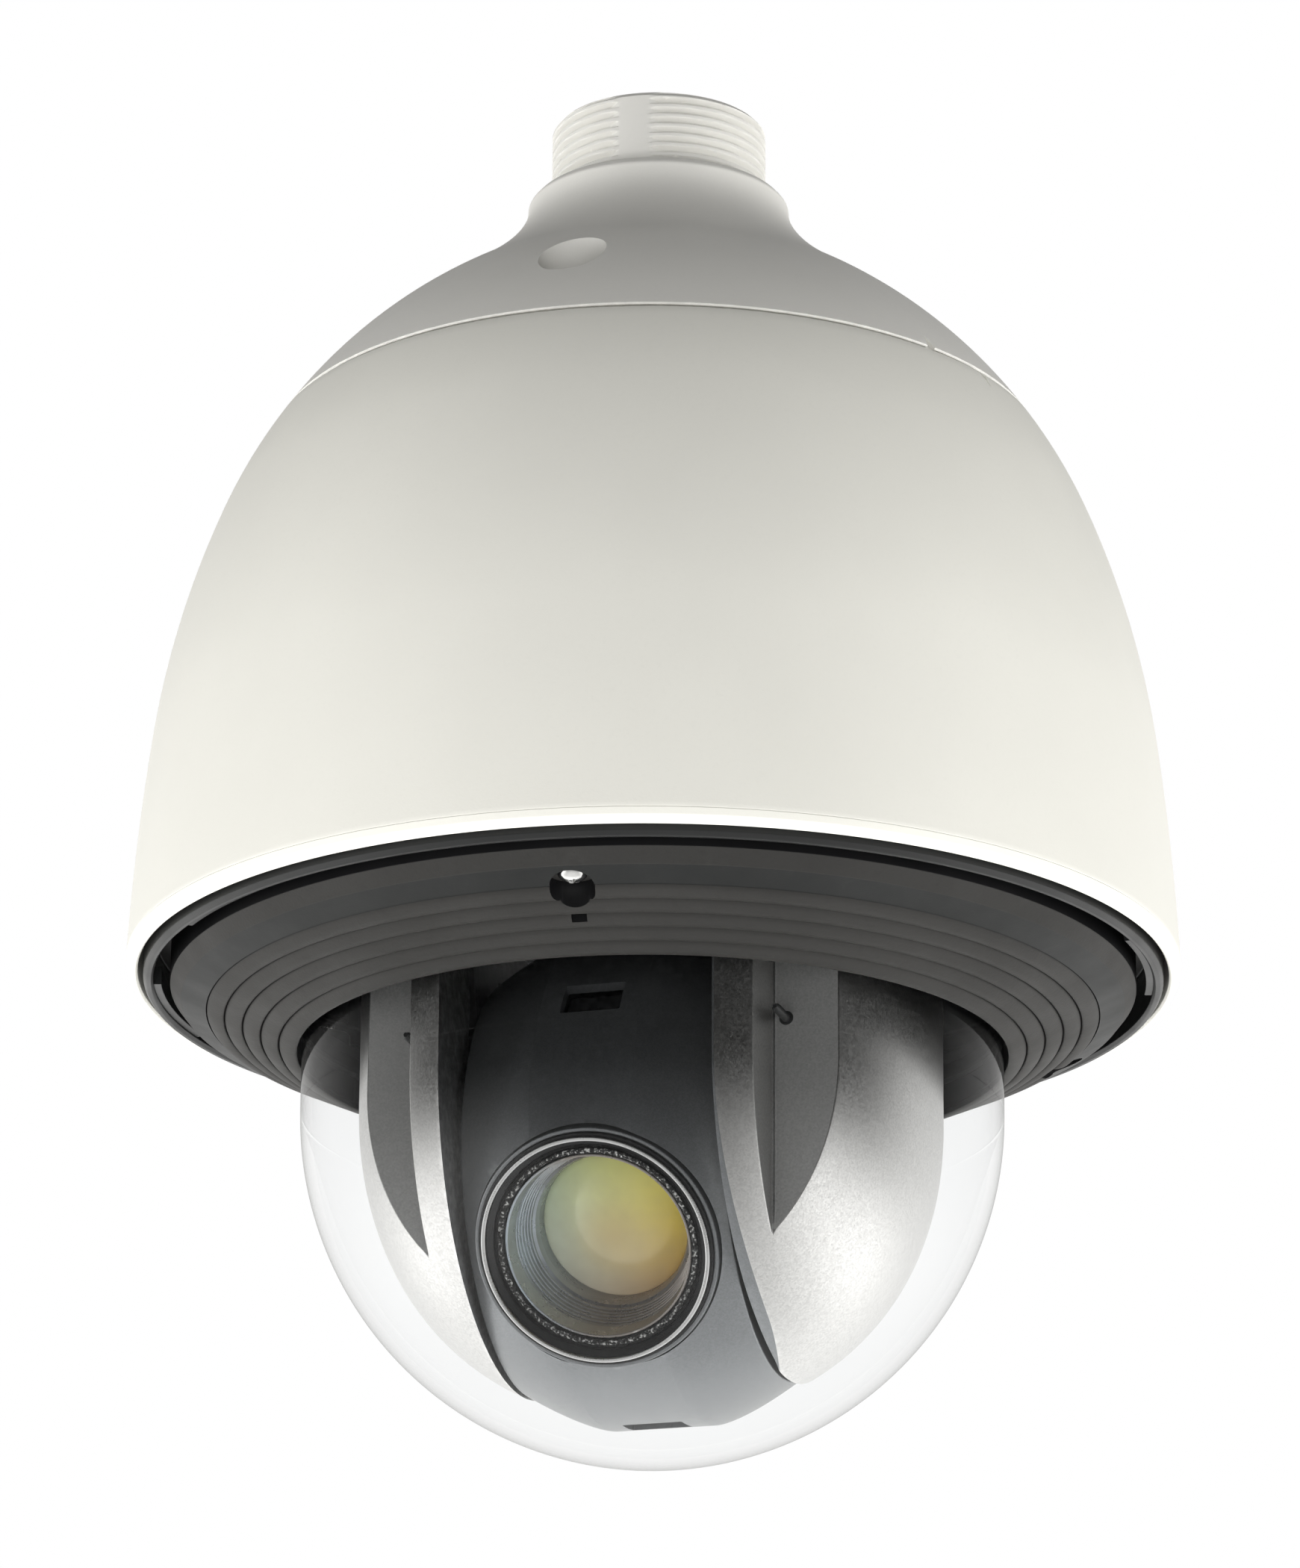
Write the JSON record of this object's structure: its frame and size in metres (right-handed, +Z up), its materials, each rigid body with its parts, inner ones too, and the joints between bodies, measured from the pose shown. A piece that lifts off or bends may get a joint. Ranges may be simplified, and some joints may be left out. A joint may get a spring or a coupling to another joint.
{
  "type": "ptz camera",
  "caption": "Pendant dome PTZ camera: threaded cap, sun hood, ribbed trim ring and clear dome over a panning, tilting zoom camera drum.",
  "frame": {"origin": "centre of the shoulder under the pipe thread, where the mating socket stops", "axes": "+Z up along the pipe thread; the camera hangs below the origin and its front is -Y"},
  "size_m": [0.2258, 0.2258, 0.3035],
  "materials": {
    "cap_paint": "fine satin powder coat",
    "hood_plastic": "fine-grained satin moulding",
    "housing_dark": "black satin coat",
    "trim_plastic": "charcoal, fine grain",
    "black_rubber": "matt",
    "screw_chrome": "polished",
    "steel": "satin",
    "clear_dome": "clear, hard coated",
    "black_plastic": "matt",
    "aluminium": "milled",
    "circuit_board": "solder mask with parts",
    "green_plastic": "moulded",
    "brass": "turned",
    "gear_plastic": "natural acetal",
    "motor_steel": "zinc plated",
    "cover_silver": "silver satin with fine metallic sparkle",
    "drum_grey": "satin grey paint",
    "coated_glass": "anti-reflection coated",
    "port_metal": "satin, dark outer groove",
    "barrel_metal": "stepped, black anodised"
  },
  "bodies": {
    "housing": {"mounting_cap": "cap_paint", "cap_seal": "black_rubber", "cap_screws": "steel", "sun_hood": "hood_plastic", "inner_housing": "housing_dark", "housing_seal": "black_rubber", "trim_ring": "trim_plastic", "trim_screws": "screw_chrome", "dome_bubble": "clear_dome", "dome_gasket": "black_rubber", "dome_clamp_ring": "black_plastic", "clamp_screws": "steel", "mechanism_plate": "aluminium", "lower_standoffs": "brass", "main_board": "circuit_board", "upper_standoffs": "brass", "power_board": "circuit_board", "power_terminal": "green_plastic", "network_jack": "steel", "blower_frame": "black_plastic", "heater": "aluminium", "pan_motor": "motor_steel", "slip_ring_body": "black_plastic", "pan_bearing_outer": "steel", "pan_bearing_balls": "screw_chrome", "bearing_retainer": "steel"},
    "pan_head": {"pan_bearing_inner": "steel", "turntable": "black_plastic", "pan_gear": "gear_plastic", "hub_nut": "steel", "slip_ring_rotor": "brass", "yoke_arm_left": "aluminium", "yoke_arm_right": "aluminium", "side_cover_left": "cover_silver", "side_cover_right": "cover_silver", "cover_screws": "steel", "tilt_bushes": "brass", "tilt_motor": "motor_steel", "driver_board": "circuit_board"},
    "camera_drum": {"drum_front_shell": "drum_grey", "drum_rear_shell": "drum_grey", "drum_screws": "steel", "tilt_axle_left": "steel", "tilt_axle_right": "steel", "tilt_gear": "gear_plastic", "camera_chassis": "black_plastic", "guide_rods": "steel", "lens_barrel": "barrel_metal", "port_ring": "port_metal", "port_seal": "black_rubber", "front_lens": "coated_glass", "image_board": "circuit_board", "processor_board": "circuit_board"},
    "pan_drive": {"pan_pinion": "brass"},
    "tilt_drive": {"tilt_pinion": "brass"},
    "blower": {"blower_rotor": "black_plastic"},
    "zoom_group": {"zoom_lens_group": "black_plastic"},
    "focus_group": {"focus_lens_group": "black_plastic"},
    "filter_slide": {"ir_cut_filter": "coated_glass"}
  },
  "joints": [
    {"name": "pan", "type": "hinge", "parent": "housing", "child": "pan_head", "pos_m": [0, 0, 0], "axis": [0, 0, 1], "continuous": true},
    {"name": "tilt", "type": "hinge", "parent": "pan_head", "child": "camera_drum", "pos_m": [0, 0, -0.225], "axis": [0.9588, -0.284, 0], "range_deg": [-37, 153]},
    {"name": "pan_pinion_spin", "type": "hinge", "parent": "housing", "child": "pan_drive", "pos_m": [0.0448, 0, -0.161], "axis": [0, 0, 1], "continuous": true},
    {"name": "tilt_pinion_spin", "type": "hinge", "parent": "pan_head", "child": "tilt_drive", "pos_m": [0, 0, -0.204], "axis": [0.9588, -0.284, 0], "range_deg": [-925, 230]},
    {"name": "blower_spin", "type": "hinge", "parent": "housing", "child": "blower", "pos_m": [0, 0.06, -0.149], "axis": [0, 0, 1], "continuous": true},
    {"name": "zoom", "type": "slide", "parent": "camera_drum", "child": "zoom_group", "axis": [-0.2409, -0.8131, -0.5299], "range_m": [-0.004, 0.009]},
    {"name": "focus", "type": "slide", "parent": "camera_drum", "child": "focus_group", "axis": [-0.2409, -0.8131, -0.5299], "range_m": [-0.004, 0.004]},
    {"name": "filter_swap", "type": "slide", "parent": "camera_drum", "child": "filter_slide", "axis": [0.9588, -0.284, 0], "range_m": [0, 0.0096]}
  ],
  "couplings": [
    {"joint": "pan_pinion_spin", "follows": "pan", "ratio": -6},
    {"joint": "tilt_pinion_spin", "follows": "tilt", "ratio": -6}
  ]
}
